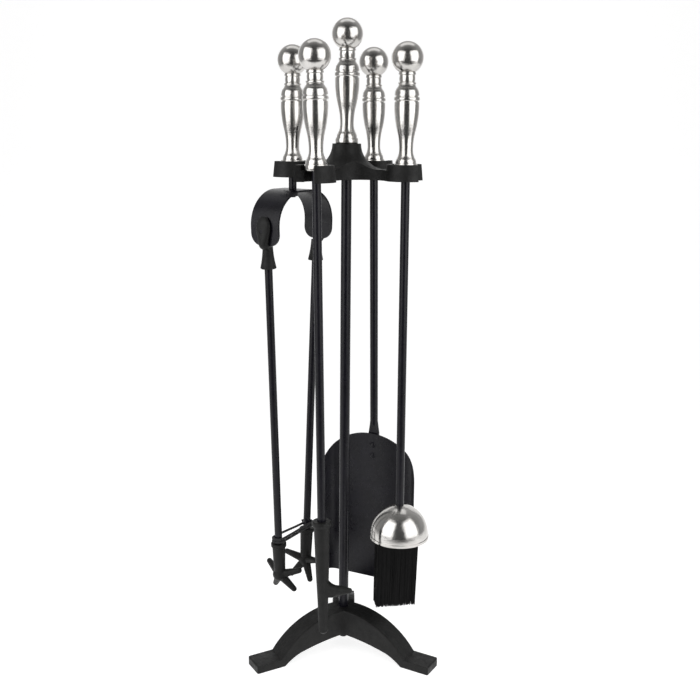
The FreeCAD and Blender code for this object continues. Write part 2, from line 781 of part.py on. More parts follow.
def rivet_outline(foot, top, top_head):
    """The outline of a rivet along Z, with a domed head below foot and, if asked, above top."""
    dome = cap("rivet_head_radius", "rivet_head_height")
    corners = [
        ("0", f"{foot} - rivet_head_height", dome),
        ("rivet_head_radius", foot),
        ("rivet_shank_radius", foot),
        ("rivet_shank_radius", top),
    ]
    if top_head:
        corners += [("rivet_head_radius", top, dome), ("0", f"{top} + rivet_head_height")]
    else:
        corners.append(("0", top))
    return corners


# ---- Brush ---------------------------------------------------------------------------------

def brush():
    """A pressed dome over a block that holds the bristles; a lock nut sits under the dome."""
    block_face = "dome_rim_height + block_rise"
    block_top = f"{block_face} + block_thickness"
    plain_rod("brush", f"{block_face} + block_thickness * 0.4")
    top = "dome_rim_height + dome_height"
    shell = "dome_thickness"
    hole = f"{ROD_RADIUS} + fit_clearance"
    skirt_top = "dome_rim_height + dome_lip"
    dome = turned("brush_dome", [
        ("dome_lip_radius", "dome_rim_height"),
        ("dome_lip_radius", skirt_top),
        ("dome_radius", skirt_top, 0.362),
        (hole, top),
        (hole, f"{top} - {shell}", -0.362),
        (f"dome_radius - {shell}", skirt_top),
        (f"dome_radius - {shell}", "dome_rim_height"),
    ])
    keep("brush_dome", stand_at(dome, "brush"))

    inside = f"dome_radius - {shell} - fit_clearance"
    disc = turned("block_disc", [
        ("0", block_face),
        (inside, block_face),
        (inside, skirt_top),
        ("dome_radius * 0.78", f"{block_top} - 1"),
        ("dome_radius * 0.78 - 1", block_top),
        ("0", block_top),
    ])
    rod_hole = solid("Cylinder", "block_rod_hole", Radius=hole, Height="block_thickness")
    place(rod_hole, frame(z=f"{block_face} + block_thickness * 0.4"))
    slot = solid("Box", "block_slot", Length="bundle_length + 2 * fit_clearance",
                 Width="bundle_width + 2 * fit_clearance", Height="slice_thickness + 1")
    place(slot, frame("-bundle_offset - bundle_length / 2 - fit_clearance",
                      "-bundle_width / 2 - fit_clearance", f"{block_face} - 1"))
    block = cut("brush_block", disc, [rod_hole, slot])
    keep("brush_block", stand_at(block, "brush", turn="bundle_turn"))

    lock_nut = nut("brush_nut", "nut_width", "lock_nut_thickness", hole)
    nut_foot = f"{top} - {shell} - lock_nut_drop - lock_nut_thickness"
    keep("brush_nut", stand_at(lock_nut, "brush", nut_foot))
    keep("brush_bristles", stand_at(bristles(block_face), "brush", turn="bundle_turn"))


def bristles(block_face):
    """Straight strands fused to the slice of backing that they are set in."""
    length, width = size("bundle_length"), size("bundle_width")
    face, foot = size(block_face), size("bristle_foot_height")
    deep = size("slice_thickness")
    columns, rows = int(size("bristle_columns")), int(size("bristle_rows"))
    thick, taper = size("bristle_thickness"), size("bundle_taper")
    offset, slant = size("bundle_offset"), size("bundle_slant")
    backing = Part.makeBox(length, width, deep, Vector(-offset - length / 2, -width / 2, face))
    strands = []
    for column in range(columns):
        for row_number in range(rows):
            x = (column / (columns - 1) - 0.5) * (length - 2 * thick)
            y = (row_number / (rows - 1) - 0.5) * (width - 2 * thick)
            # Rounded bundle ends, and feet that end unevenly by a millimetre or two.
            uneven = math.sin(column * 2.3 + row_number * 1.7)
            start = Vector(x - offset, y, face + deep / 4)
            end = Vector(x * taper - offset - slant, y * (taper + 0.03 * uneven), foot + 0.9 * (1 + uneven))
            strands.append(strand(start, end, thick))
    document.recompute()
    feature = document.addObject("Part::Feature", "brush_bristles")
    feature.Shape = backing.fuse(strands)
    return feature


def strand(start, end, thick):
    """One square bristle between two points."""
    half = thick / 2
    corners = [(-half, -half), (half, -half), (half, half), (-half, half)]
    rings = []
    for point in (start, end):
        loop = [point + Vector(x, y, 0) for x, y in corners]
        rings.append(Part.makePolygon(loop + loop[:1]))
    return Part.makeLoft(rings, True, True)


# ---- Tongs ---------------------------------------------------------------------------------

# The tongs' own frame: Z up the handle, X along the span towards the near arm. An arm's frame
# has its origin at the foot of the bow's leg, Z up the arm and X away from the other arm.
ARM_TURNS = {"near": 0, "far": 180}
LEG_HALF = "(bow_span / 2)"
FOOT_HALF = f"({LEG_HALF} - bow_leg_length * sin(arm_lean))"
BOW_TOP = f"({HANDLE_FOOT} - tongs_rod_length)"
SHOULDER_HALF = "(bow_flat + bow_crown_radius * sin(bow_shoulder_turn))"
SHOULDER = f"({BOW_TOP} - bow_thickness / 2 - bow_crown_radius * (1 - cos(bow_shoulder_turn)))"
SIDE_RADIUS = f"({LEG_HALF} - {SHOULDER_HALF}) / (cos(arm_lean) - sin(bow_shoulder_turn))"
LEG_TOP = f"({SHOULDER} - {SIDE_RADIUS} * (cos(bow_shoulder_turn) + sin(arm_lean)))"
BOW_FOOT = f"({LEG_TOP} - bow_leg_length * cos(arm_lean))"
RIVET_RISE = "(bow_leg_length - rivet_inset)"
ARM_FOOT = f"claw_collar_height - claw_socket_depth - {BOW_FOOT}"


def tongs():
    """A sprung bow on the handle's rod, and two arms with star claws."""
    tenon_end = f"{BOW_TOP} - bow_thickness - tongs_nut_thickness - 2 * edge_break"
    rod = turned("tongs_rod", [
        ("0", tenon_end),
        ("tenon_diameter / 2", tenon_end),
        ("tenon_diameter / 2", BOW_TOP),
        ("arm_rod_diameter / 2", BOW_TOP),
        ("arm_rod_diameter / 2", HANDLE_FOOT),
        (ROD_RADIUS, HANDLE_FOOT),
        (ROD_RADIUS, f"{HANDLE_FOOT} + rod_grip"),
        ("0", f"{HANDLE_FOOT} + rod_grip"),
    ])
    keep("tongs_rod", stand_at(rod, "tongs"))
    keep("tongs_bow", stand_at(bow(), "tongs", turn="bow_turn"))
    lock = nut("tongs_nut", "tongs_nut_width", "tongs_nut_thickness", "tenon_diameter / 2 + fit_clearance")
    keep("tongs_nut", stand_at(lock, "tongs", f"{BOW_TOP} - bow_thickness - tongs_nut_thickness"))
    for side, turn in ARM_TURNS.items():
        pieces = {
            "socket": (socket(side), frame()),
            "rivet": (socket_rivet(side), frame(z=RIVET_RISE, turn="90", axis=ACROSS_X)),
            "arm": (arm_rod(side), frame("-arm_offset", z=ARM_FOOT)),
            "claw": (claw(side), frame("-arm_offset")),
        }
        for kind, (piece, spot) in pieces.items():
            where = tool_frame("tongs", turn=f"bow_turn + {turn}"), arm_frame(), spot
            keep(f"tongs_{kind}_{side}", place(piece, *where))
    keep("tongs_tie", stand_at(tie(), "tongs", turn="bow_turn"))


def arm_frame(mirrored=False):
    """The near arm's frame in the tongs' own frame, or the far arm's."""
    near = frame(FOOT_HALF, z=BOW_FOOT, turn="arm_lean", axis=ACROSS_X)
    return f"{frame(turn='180')} * {near}" if mirrored else near


def bow():
    """A flat strip bent to a horseshoe, with rounded ends and holes for the tenon and rivets."""
    strip = document.addObject("PartDesign::Body", "bow_strip")
    half, inside = "bow_thickness / 2", f"{BOW_TOP} - bow_thickness"
    turn = size("bow_shoulder_turn")
    crown_bend = math.tan(math.radians(turn) / 4)
    side_bend = math.tan(math.radians(90 + size("arm_lean") - turn) / 4)
    normal = "sin(bow_shoulder_turn)", "cos(bow_shoulder_turn)"

    def shoulder(side, layer):
        """A point of the bend, out by layer from the middle of the strip."""
        across = f"{side} * ({SHOULDER_HALF} + ({layer}) * {normal[0]})"
        return across, f"{SHOULDER} + ({layer}) * {normal[1]}"

    pad(strip, outline(sketch_on(strip, "bow_side", "XZ_Plane"), [
        (f"{FOOT_HALF} + {half}", BOW_FOOT),
        (f"{LEG_HALF} + {half}", LEG_TOP, side_bend),
        shoulder(1, half) + (crown_bend,),
        ("bow_flat", BOW_TOP),
        ("-bow_flat", BOW_TOP, crown_bend),
        shoulder(-1, half) + (side_bend,),
        (f"-{LEG_HALF} - {half}", LEG_TOP),
        (f"-{FOOT_HALF} - {half}", BOW_FOOT),
        (f"-{FOOT_HALF} + {half}", BOW_FOOT),
        (f"-{LEG_HALF} + {half}", LEG_TOP, -side_bend),
        shoulder(-1, f"-{half}") + (-crown_bend,),
        ("-bow_flat", inside),
        ("bow_flat", inside, -crown_bend),
        shoulder(1, f"-{half}") + (-side_bend,),
        (f"{LEG_HALF} - {half}", LEG_TOP),
        (f"{FOOT_HALF} - {half}", BOW_FOOT),
    ]), "bow_width", midplane=True)
    face = document.addObject("PartDesign::Body", "bow_face")
    wide, corner, quarter = "bow_width / 2", "bow_corner_radius", math.tan(math.pi / 8)
    pad(face, outline(sketch_on(face, "bow_front", "YZ_Plane"), [
        (f"-{wide} + {corner}", BOW_FOOT),
        (f"{wide} - {corner}", BOW_FOOT, quarter),
        (wide, f"{BOW_FOOT} + {corner}"),
        (wide, f"{BOW_TOP} + bow_thickness"),
        (f"-{wide}", f"{BOW_TOP} + bow_thickness"),
        (f"-{wide}", f"{BOW_FOOT} + {corner}", quarter),
    ]), "2 * bow_span", midplane=True)
    blank = document.addObject("Part::Common", "bow_blank")
    blank.Base = strip
    blank.Tool = face
    holes = [solid("Cylinder", "bow_tenon_hole", Radius="tenon_diameter / 2 + fit_clearance",
                   Height="3 * bow_thickness")]
    place(holes[0], frame(z=f"{BOW_TOP} - 2 * bow_thickness"))
    for side in ARM_TURNS:
        hole = solid("Cylinder", f"bow_hole_{side}", Radius="rivet_shank_radius + fit_clearance",
                     Height="4 * bow_thickness")
        across = frame("-2 * bow_thickness", z=RIVET_RISE, turn="90", axis=ACROSS_X)
        holes.append(place(hole, arm_frame(side == "far"), across))
    return cut("tongs_bow", blank, holes)


def arm_rod(side):
    """The round rod of one arm, that stands on z = 0."""
    return solid("Cylinder", f"tongs_arm_{side}", Radius="arm_rod_diameter / 2",
                 Height=f"socket_bore_depth - socket_length - ({ARM_FOOT})")


def socket(side):
    """A cast socket for the arm's rod, with a teardrop paddle that lies on the bow's leg."""
    bore = "arm_rod_diameter / 2 + fit_clearance"
    bore_top = "-socket_length + socket_bore_depth"
    cone = turned(f"socket_cone_{side}", [
        ("0", "-socket_gap"),
        ("0", bore_top),
        (bore, bore_top),
        (bore, "-socket_length"),
        ("socket_foot_radius - socket_lip", "-socket_length"),
        ("socket_foot_radius", "-socket_length + socket_lip"),
        ("socket_foot_radius - socket_lip / 2", "-socket_length + 3 * socket_lip", -0.05),
        ("socket_neck_radius", "-socket_gap"),
    ])
    place(cone, frame("-arm_offset"))
    depth, wide = "paddle_depth", "paddle_half_width"
    face = "bow_thickness / 2"
    shape = [(0.22, 0.45, 0.72, 0.75), (0.46, 0.42, 0.94, 0.66), (0.7, 0.36, 1.0, 0.62),
             (0.9, 0.2, 0.72, 0.5), (1.0, 0.1, 0.34, 0.24)]
    root = "socket_neck_radius * 0.9"
    sections = [(frame("-arm_offset", z="-4 * socket_gap", turn="90"), root, root)]
    for rise, out, width, thick in shape:
        spot = frame(f"{face} + {depth} * {out}", z=f"paddle_length * {rise}", turn="90")
        sections.append((spot, f"{wide} * {width}", f"{depth} * {thick}"))
    paddle = ring_loft(f"socket_paddle_{side}", sections)
    room = solid("Box", f"bow_room_{side}", Length="4 * paddle_depth", Width="4 * paddle_half_width",
                 Height="2 * paddle_length")
    place(room, frame(f"{face} + fit_clearance - 4 * paddle_depth", "-2 * paddle_half_width",
                      "-socket_gap / 2"))
    hole = solid("Cylinder", f"paddle_hole_{side}", Radius="rivet_shank_radius + fit_clearance",
                 Height="2 * paddle_depth")
    place(hole, frame("0", z=RIVET_RISE, turn="90", axis=ACROSS_X))
    return cut(f"tongs_socket_{side}", joined(f"socket_casting_{side}", [cone, paddle]), [room, hole])


def socket_rivet(side):
    """The rivet through the paddle and the bow's leg, flush with the paddle's crown."""
    return turned(f"socket_rivet_{side}",
                  rivet_outline("-bow_thickness / 2", "bow_thickness / 2 + paddle_depth", False))


def claw(side):
    """A cast socket that ends in a star of four rounded fingers."""
    top = f"claw_collar_height - {BOW_FOOT}"
    centre = f"claw_centre_height - {BOW_FOOT}"
    bore = "arm_rod_diameter / 2 + fit_clearance"
    collar = "claw_collar_radius"
    shaft = turned(f"claw_shaft_{side}", [
        ("0", centre),
        ("claw_neck_radius", centre),
        (f"{collar} - 2 * edge_break", f"{top} - claw_collar_width"),
        (f"{collar} - edge_break", f"{top} - claw_collar_width"),
        (collar, f"{top} - claw_collar_width + edge_break"),
        (collar, f"{top} - edge_break"),
        (f"{collar} - edge_break", top),
        (bore, top),
        (bore, f"{top} - claw_socket_depth"),
        ("0", f"{top} - claw_socket_depth"),
    ])
    pieces = [shaft, place(solid("Sphere", f"claw_hub_{side}", Radius="claw_hub_radius"), frame(z=centre))]
    for number in range(1, FINGERS + 1):
        turn = number * 360 / (FINGERS + 1)
        spot = frame(z=centre, turn=f"-{turn}", axis="1; 0; 0"), frame(turn="-finger_cup", axis=ACROSS_X)
        finger = turned(f"finger_{side}{number}", [
            ("0", "0"),
            ("finger_root_radius", "0"),
            ("finger_tip_radius", "finger_length", cap("finger_tip_radius", "finger_tip_radius")),
            ("0", "finger_length + finger_tip_radius"),
        ])
        pieces.append(place(finger, *spot))
    return joined(f"tongs_claw_{side}", pieces)


FINGERS = 4
TIE_TURNS = 2


def tie():
    """A cord wound round both arms above the claws, in one unbroken run with a knot at each end."""
    height = size("claw_collar_height + tie_rise")
    drop = f"({BOW_FOOT} - claw_collar_height - tie_rise)"
    reach = size(f"{FOOT_HALF} - arm_offset * cos(arm_lean) - {drop} * tan(arm_lean)")
    cord, gap = size("tie_diameter"), size("tie_gap")
    bend = size("arm_rod_diameter / 2 + tie_diameter / 2 + tie_gap")
    climb = (cord + gap) / 2
    edges, z = [], height - climb * (TIE_TURNS - 0.5)
    for half_turn in range(2 * TIE_TURNS):
        side = 1 if half_turn % 2 == 0 else -1
        centre = Vector(side * reach, 0, z)
        sides = [centre + Vector(0, -side * bend, 0), centre + Vector(0, side * bend, 0)]
        edges.append(Part.Arc(sides[0], centre + Vector(side * bend, 0, 0), sides[1]).toShape())
        if half_turn < 2 * TIE_TURNS - 1:
            edges += climbing_run(sides[1], sides[1] + Vector(-2 * side * reach, 0, climb))
        z += climb
    path = Part.Wire(edges)
    ends = [edges[0].valueAt(edges[0].FirstParameter), edges[-1].valueAt(edges[-1].LastParameter)]
    ring = Part.Wire(Part.makeCircle(cord / 2, ends[0], Vector(1, 0, 0)))
    winding = path.makePipeShell([ring], True, True)
    length = sum(edge.Length for edge in edges)
    print("tie volume over section times length:",
          round(winding.Volume / (math.pi * cord ** 2 / 4 * length), 4), "gap between turns:", gap)
    knot = size("tie_knot_radius")
    knots = [Part.makeSphere(knot, end + Vector(0, cord / 2 - knot, 0)) for end in ends]
    feature = document.addObject("Part::Feature", "tongs_tie")
    feature.Shape = winding.fuse(knots)
    return feature


def climbing_run(start, end):
    """Two arcs that leave start level, climb, and reach end level."""
    middle = (start + end) / 2
    along = Vector(end.x - start.x, end.y - start.y, 0)
    rise = end.z - start.z
    radius = (along.Length ** 2 + rise ** 2) / (4 * abs(rise))
    sag = radius - math.sqrt(radius ** 2 - (along.Length / 4) ** 2)
    low = start + along / 4 + Vector(0, 0, sag)
    high = end - along / 4 - Vector(0, 0, sag)
    return [Part.Arc(start, low, middle).toShape(), Part.Arc(middle, high, end).toShape()]


# ---- Build ---------------------------------------------------------------------------------

base_casting()
base_fasteners()
stand_post()
tool_gallery()
handles()
poker()
shovel()
brush()
tongs()
document.recompute()

failed = [item.Label for item in document.Objects if {"Invalid", "Error"} & set(item.State)]
if failed:
    raise RuntimeError(f"these failed: {failed}")
os.makedirs("parts", exist_ok=True)
for name, item in parts.items():
    shape = item.Shape
    if shape.isNull() or not shape.isValid():
        raise RuntimeError(f"{name} has no valid shape")
    shape.exportStep(f"parts/{name}.step")
    print(name, len(shape.Solids), round(shape.Volume))
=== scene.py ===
"""The looks of a fireplace tool set: finishes, brush bristles, sprung bow and tied cord.

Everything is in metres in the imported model's frame: origin on the floor on the post's axis,
+Z up, and +Y along the back leg.
"""
import json
import math
import random

import bmesh
import bpy
from mathutils import Matrix, Vector


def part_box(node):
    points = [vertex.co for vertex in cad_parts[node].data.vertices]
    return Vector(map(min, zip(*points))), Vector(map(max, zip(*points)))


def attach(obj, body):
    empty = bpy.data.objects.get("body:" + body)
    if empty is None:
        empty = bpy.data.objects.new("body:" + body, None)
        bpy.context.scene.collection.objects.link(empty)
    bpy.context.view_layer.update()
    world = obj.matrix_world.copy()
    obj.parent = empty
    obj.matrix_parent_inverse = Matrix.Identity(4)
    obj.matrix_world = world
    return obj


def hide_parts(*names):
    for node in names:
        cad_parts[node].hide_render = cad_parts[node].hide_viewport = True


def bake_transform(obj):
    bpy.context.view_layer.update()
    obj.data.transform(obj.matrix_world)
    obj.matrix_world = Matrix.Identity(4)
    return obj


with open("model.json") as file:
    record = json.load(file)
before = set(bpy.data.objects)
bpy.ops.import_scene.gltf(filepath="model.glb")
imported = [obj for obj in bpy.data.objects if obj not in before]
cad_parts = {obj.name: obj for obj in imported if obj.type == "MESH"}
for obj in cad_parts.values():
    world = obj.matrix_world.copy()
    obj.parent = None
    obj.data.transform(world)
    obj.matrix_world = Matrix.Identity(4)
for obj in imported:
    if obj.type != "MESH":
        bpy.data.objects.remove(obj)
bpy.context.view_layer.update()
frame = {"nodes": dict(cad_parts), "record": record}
nodes = frame["nodes"]
scene = bpy.context.scene
scene.view_settings.view_transform = "Standard"


# ---- Camera ---------------------------------------------------------------------------------

CAMERA_PLACE = (0.0048, -0.988, 0.5614)
CAMERA_PITCH = 13.28      # degrees below the horizon
CAMERA_ROLL = 0.47        # degrees
SENSOR = 36.0
LENS = SENSOR / 0.7       # the frame is 0.7 of a focal length wide


def make_camera():
    """The camera in front of the set, a little above its middle and looking down."""
    data = bpy.data.cameras.new("camera")
    data.sensor_width = SENSOR
    data.lens = LENS
    camera = bpy.data.objects.new("camera", data)
    scene.collection.objects.link(camera)
    tilt = Matrix.Rotation(math.radians(90 - CAMERA_PITCH), 4, "X")
    roll = Matrix.Rotation(math.radians(CAMERA_ROLL), 4, "Z")
    camera.matrix_world = Matrix.Translation(CAMERA_PLACE) @ tilt @ roll
    scene.camera = camera


# ---- Light and floor ------------------------------------------------------------------------

def area_light(name, place, target, size, power):
    """A soft rectangular lamp that faces a target."""
    data = bpy.data.lights.new(name, "AREA")
    data.shape = "RECTANGLE"
    data.size, data.size_y = size
    data.energy = power
    lamp = bpy.data.objects.new(name, data)
    lamp.location = place
    lamp.rotation_euler = (Vector(target) - Vector(place)).to_track_quat("-Z", "Y").to_euler()
    lamp.visible_camera = False
    scene.collection.objects.link(lamp)


ROOM_DARK = 0.07          # the room's level on the camera's side
ROOM_LIGHT = 0.45         # and on the far side
ROOM_BLEND = 0.6          # where each is reached, as a share of the way round


def make_world():
    """A pale room that darkens towards the camera's side where it lights or is mirrored."""
    world = bpy.data.worlds.new("room")
    world.use_nodes = True
    tree = world.node_tree
    direction = tree.nodes.new("ShaderNodeTexCoord").outputs["Generated"]
    split = tree.nodes.new("ShaderNodeSeparateXYZ")
    tree.links.new(direction, split.inputs["Vector"])
    shade = tree.nodes.new("ShaderNodeMapRange")
    shade.inputs["From Min"].default_value = -ROOM_BLEND
    shade.inputs["From Max"].default_value = ROOM_BLEND
    shade.inputs["To Min"].default_value = ROOM_DARK
    shade.inputs["To Max"].default_value = ROOM_LIGHT
    tree.links.new(split.outputs["Y"], shade.inputs["Value"])
    level = tree.nodes.new("ShaderNodeMath")
    level.operation = "MAXIMUM"
    tree.links.new(shade.outputs["Result"], level.inputs[0])
    tree.links.new(tree.nodes.new("ShaderNodeLightPath").outputs["Is Camera Ray"], level.inputs[1])
    tree.links.new(level.outputs["Value"], tree.nodes["Background"].inputs["Color"])
    scene.world = world


BACKDROP_WIDTH = 2.6
BACKDROP_NEAR = -0.5      # front edge of the floor
BACKDROP_FAR = 0.9        # where the floor starts to rise
BACKDROP_BEND = 0.6       # radius of the sweep between floor and wall
BACKDROP_HEIGHT = 1.5
BACKDROP_STEPS = 16
BACKDROP_GREY = 0.5
BACKDROP_GLOW = 0.82      # added to the pale floor and wall where they are seen or mirrored


def seen_directly(tree):
    """1 for rays from the camera or off a mirror or through glass, and 0 for diffuse light."""
    path = tree.nodes.new("ShaderNodeLightPath")
    total = path.outputs["Is Camera Ray"]
    for name in ("Is Glossy Ray", "Is Transmission Ray"):
        larger = tree.nodes.new("ShaderNodeMath")
        larger.operation = "MAXIMUM"
        tree.links.new(total, larger.inputs[0])
        tree.links.new(path.outputs[name], larger.inputs[1])
        total = larger.outputs["Value"]
    return total


def make_backdrop():
    """A pale floor that sweeps up into a wall behind the object."""
    profile = [(BACKDROP_NEAR, 0.0)]
    for step in range(BACKDROP_STEPS + 1):
        angle = math.pi / 2 * step / BACKDROP_STEPS
        profile.append((BACKDROP_FAR + BACKDROP_BEND * math.sin(angle),
                        BACKDROP_BEND * (1 - math.cos(angle))))
    profile.append((BACKDROP_FAR + BACKDROP_BEND, BACKDROP_HEIGHT))
    sides = (-BACKDROP_WIDTH / 2, BACKDROP_WIDTH / 2)
    mesh = bmesh.new()
    rows = [[mesh.verts.new((x, y, z)) for x in sides] for y, z in profile]
    for low, high in zip(rows, rows[1:]):
        mesh.faces.new((low[0], low[1], high[1], high[0])).smooth = True
    data = bpy.data.meshes.new("backdrop")
    mesh.to_mesh(data)
    mesh.free()
    backdrop = bpy.data.objects.new("backdrop", data)
    scene.collection.objects.link(backdrop)
    finish = bpy.data.materials.new("backdrop")
    finish.use_nodes = True
    shader = finish.node_tree.nodes["Principled BSDF"]
    shader.inputs["Base Color"].default_value = (BACKDROP_GREY, BACKDROP_GREY, BACKDROP_GREY, 1)
    shader.inputs["Roughness"].default_value = 0.9
    shader.inputs["Emission Color"].default_value = (1, 1, 1, 1)
    seen = seen_directly(finish.node_tree)
    glow = finish.node_tree.nodes.new("ShaderNodeMath")
    glow.operation = "MULTIPLY"
    glow.inputs[1].default_value = BACKDROP_GLOW
    finish.node_tree.links.new(seen, glow.inputs[0])
    finish.node_tree.links.new(glow.outputs["Value"], shader.inputs["Emission Strength"])
    data.materials.append(finish)


LAMP_TARGET = (0, 0, 0.4)
SIDE_LAMP_SIZE = (1.0, 1.2)
SIDE_LAMP_POWER = 8
TOP_LAMP_SIZE = (1.6, 0.8)
TOP_LAMP_POWER = 3


def make_lights():
    """A wide soft lamp on each side of the camera, and a weaker one above."""
    area_light("left_softbox", (-0.74, -0.6, 0.68), LAMP_TARGET, SIDE_LAMP_SIZE, SIDE_LAMP_POWER)
    area_light("right_softbox", (0.74, -0.6, 0.68), LAMP_TARGET, SIDE_LAMP_SIZE, SIDE_LAMP_POWER)
    area_light("top_softbox", (0, 0.5, 2.0), LAMP_TARGET, TOP_LAMP_SIZE, TOP_LAMP_POWER)


# ---- Materials ------------------------------------------------------------------------------

NOISE_LOW, NOISE_HIGH = 0.3, 0.7      # most of a noise's values lie between these
BEVEL_SAMPLES = 4


class Finish:
    """A node material built round one Principled shader, in the object's own coordinates."""

    def __init__(self, name):
        self.material = bpy.data.materials.new(name)
        self.material.use_nodes = True
        self.tree = self.material.node_tree
        self.shader = self.tree.nodes["Principled BSDF"]
        self.coordinates = self.add("ShaderNodeTexCoord").outputs["Object"]

    def add(self, kind, **values):
        """A new node with values on its sockets."""
        node = self.tree.nodes.new(kind)
        for name, value in values.items():
            node.inputs[name].default_value = value
        return node

    def link(self, output, target):
        self.tree.links.new(output, target)

    def noise(self, scale, detail=3.0, stretch=(1, 1, 1), roughness=0.5):
        """Noise from 0 to 1 whose grain is 1 / scale metres, finer along a stretched axis."""
        mapping = self.add("ShaderNodeMapping", Scale=stretch)
        self.link(self.coordinates, mapping.inputs["Vector"])
        noise = self.add("ShaderNodeTexNoise", Scale=scale, Detail=detail, Roughness=roughness)
        self.link(mapping.outputs["Vector"], noise.inputs["Vector"])
        return noise.outputs["Fac"]

    def span(self, value, low, high):
        """A noise mapped to low..high."""
        node = self.add("ShaderNodeMapRange")
        node.inputs["From Min"].default_value = NOISE_LOW
        node.inputs["From Max"].default_value = NOISE_HIGH
        node.inputs["To Min"].default_value = low
        node.inputs["To Max"].default_value = high
        self.link(value, node.inputs["Value"])
        return node.outputs["Result"]

    def colours(self, value, low, high):
        """A surface colour between low and high, by a noise."""
        ramp = self.add("ShaderNodeValToRGB")
        ramp.color_ramp.elements[0].position = NOISE_LOW
        ramp.color_ramp.elements[1].position = NOISE_HIGH
        ramp.color_ramp.elements[0].color = (*low, 1)
        ramp.color_ramp.elements[1].color = (*high, 1)
        self.link(value, ramp.inputs["Fac"])
        self.link(ramp.outputs["Color"], self.shader.inputs["Base Color"])

    def bump(self, *layers, edge=0.0):
        """Surface relief of (height, depth in metres) layers, over softened edges."""
        normal = None
        if edge:
            bevel = self.add("ShaderNodeBevel", Radius=edge)
            bevel.samples = BEVEL_SAMPLES
            normal = bevel.outputs["Normal"]
        for height, depth in layers:
            node = self.add("ShaderNodeBump", Strength=1.0, Distance=depth)
            self.link(height, node.inputs["Height"])
            if normal:
                self.link(normal, node.inputs["Normal"])
            normal = node.outputs["Normal"]
        self.link(normal, self.shader.inputs["Normal"])


def cast_black():
    """Satin black paint over a slightly rough casting."""
    finish = Finish("cast_black")
    finish.colours(finish.noise(45), (0.005, 0.005, 0.005), (0.010, 0.010, 0.0095))
    finish.shader.inputs["Specular IOR Level"].default_value = 0.27
    finish.link(finish.span(finish.noise(160), 0.42, 0.6), finish.shader.inputs["Roughness"])
    finish.bump((finish.noise(120, 2), 0.0006), (finish.noise(1100, 4), 0.00025), edge=0.0007)
    return finish.material


def black_metal():
    """Smooth satin black paint on rod and sheet."""
    finish = Finish("black_metal")
    finish.colours(finish.noise(60), (0.0035, 0.0032, 0.0058), (0.0070, 0.0064, 0.0110))
    finish.shader.inputs["Specular IOR Level"].default_value = 0.28
    finish.link(finish.span(finish.noise(300), 0.26, 0.36), finish.shader.inputs["Roughness"])
    finish.bump((finish.noise(900, 3), 0.00008), edge=0.0004)
    return finish.material


def nickel():
    """Satin nickel plate with fine marks that run round each turned piece."""
    finish = Finish("nickel")
    finish.shader.inputs["Metallic"].default_value = 1.0
    finish.colours(finish.noise(70), (0.52, 0.505, 0.485), (0.64, 0.625, 0.605))
    finish.link(finish.span(finish.noise(120), 0.13, 0.22), finish.shader.inputs["Roughness"])
    rings = finish.noise(40, 5, stretch=(1, 1, 60))
    finish.bump((rings, 0.00008), (finish.noise(500, 3), 0.00002), edge=0.0002)
    return finish.material


def zinc():
    """Bright zinc plate on the hidden fasteners."""
    finish = Finish("zinc")
    finish.shader.inputs["Metallic"].default_value = 1.0
    finish.colours(finish.noise(200), (0.42, 0.42, 0.43), (0.55, 0.55, 0.56))
    finish.link(finish.span(finish.noise(400), 0.3, 0.45), finish.shader.inputs["Roughness"])
    finish.bump((finish.noise(900, 2), 0.00005), edge=0.0003)
    return finish.material


def block():
    """Black stained wood with a fine grain."""
    finish = Finish("block")
    grain = finish.noise(120, 4, stretch=(1, 12, 1))
    finish.colours(grain, (0.018, 0.015, 0.013), (0.045, 0.038, 0.032))
    finish.shader.inputs["Roughness"].default_value = 0.65
    finish.bump((grain, 0.0002))
    return finish.material


def bristle():
    """Glossy black bristle, a little lighter here and there."""
    finish = Finish("bristle")
    along = finish.noise(700, stretch=(1, 1, 0.1))
    finish.colours(along, (0.002, 0.002, 0.0024), (0.007, 0.0068, 0.0068))
    finish.shader.inputs["Specular IOR Level"].default_value = 0.12
    finish.shader.inputs["Roughness"].default_value = 0.45
    finish.bump((finish.noise(2500, stretch=(1, 1, 0.2)), 0.00005))
    return finish.material


def cord():
    """Black twisted cord, softly matt."""
    finish = Finish("cord")
    finish.colours(finish.noise(1200), (0.01, 0.01, 0.011), (0.03, 0.03, 0.032))
    finish.shader.inputs["Roughness"].default_value = 0.8
    finish.shader.inputs["Sheen Weight"].default_value = 0.2
    finish.bump((finish.noise(4000), 0.00006))
    return finish.material


# ---- Soft and sprung pieces -----------------------------------------------------------------

def centre(node):
    """The middle of a node's box at rest."""
    low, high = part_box(node)
    return (Vector(low) + Vector(high)) / 2


def add_piece(name, mesh, slot_name):
    """A new object with the finish of a slot."""
    piece = bpy.data.objects.new(name, mesh)
    mesh.materials.clear()
    mesh.materials.append(finishes[slot_name])
    scene.collection.objects.link(piece)
    return piece


def tube(points, radius, sides, vertices, faces, ends=(1.0, 1.0)):
    """Add a closed tube along points, a little thinner at its ends if asked."""
    first = len(vertices)
    across = (points[1] - points[0]).orthogonal().normalized()
    for number, point in enumerate(points):
        ahead = points[min(number + 1, len(points) - 1)] - points[max(number - 1, 0)]
        ahead.normalize()
        across = (across - ahead * across.dot(ahead)).normalized()
        upward = ahead.cross(across)
        size = radius
        if number == 0:
            size *= ends[0]
        elif number == len(points) - 1:
            size *= ends[1]
        for side in range(sides):
            angle = 2 * math.pi * side / sides
            vertices.append(point + (across * math.cos(angle) + upward * math.sin(angle)) * size)
    for ring in range(len(points) - 1):
        start = first + ring * sides
        for side in range(sides):
            following = (side + 1) % sides
            faces.append((start + side, start + following,
                          start + sides + following, start + sides + side))
    last = first + (len(points) - 1) * sides
    faces.append(tuple(range(first + sides - 1, first - 1, -1)))
    faces.append(tuple(range(last, last + sides)))


